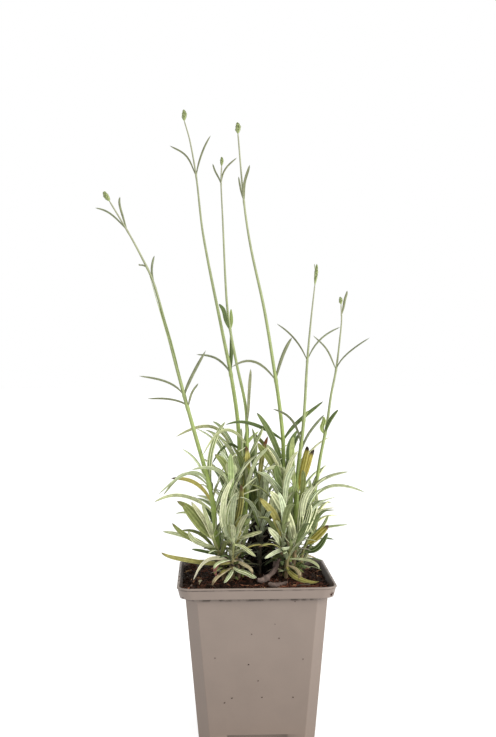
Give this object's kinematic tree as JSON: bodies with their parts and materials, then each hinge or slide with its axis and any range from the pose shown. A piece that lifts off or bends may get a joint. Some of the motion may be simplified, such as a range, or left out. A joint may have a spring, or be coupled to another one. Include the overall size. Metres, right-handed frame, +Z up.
{
  "type": "potted lavender",
  "caption": "Young lavender plant in a tapered square nursery pot: leaning stalks with small closed flower spikes over a tuft of narrow grey-green leaves.",
  "frame": {"origin": "middle of the pot's underside, on the surface that the pot stands on", "axes": "+Z up along the stalks, -Y towards the viewer, +X to the viewer's right; the pot's sides face along X and Y"},
  "size_m": [0.1601, 0.0925, 0.3674],
  "materials": {
    "pot": "satin moulded",
    "compost": "rough, damp and fibrous",
    "green_stem": "matt, finely hairy",
    "grey_leaf": "matt, felted",
    "flower_bud": "matt, finely hairy",
    "old_wood": "dry bark"
  },
  "bodies": {
    "root": {"pot": "pot", "compost": "compost", "stalk_a": "green_stem", "spike_a": "flower_bud", "stalk_b": "green_stem", "spike_b": "flower_bud", "stalk_c": "green_stem", "spike_c": "flower_bud", "stalk_d": "green_stem", "spike_d": "flower_bud", "stalk_e": "green_stem", "spike_e": "flower_bud", "stalk_f": "green_stem", "spike_f": "flower_bud", "shoot_left": "grey_leaf", "shoot_front_left": "grey_leaf", "shoot_mid_left": "grey_leaf", "shoot_back_left": "grey_leaf", "shoot_back": "grey_leaf", "shoot_middle": "grey_leaf", "shoot_right_inner": "grey_leaf", "shoot_right_fan": "grey_leaf", "shoot_right_low": "grey_leaf", "shoot_front_right": "grey_leaf", "shoot_back_right": "grey_leaf", "woody_heart": "old_wood", "twig_long": "old_wood", "twig_short": "old_wood"}
  },
  "joints": []
}
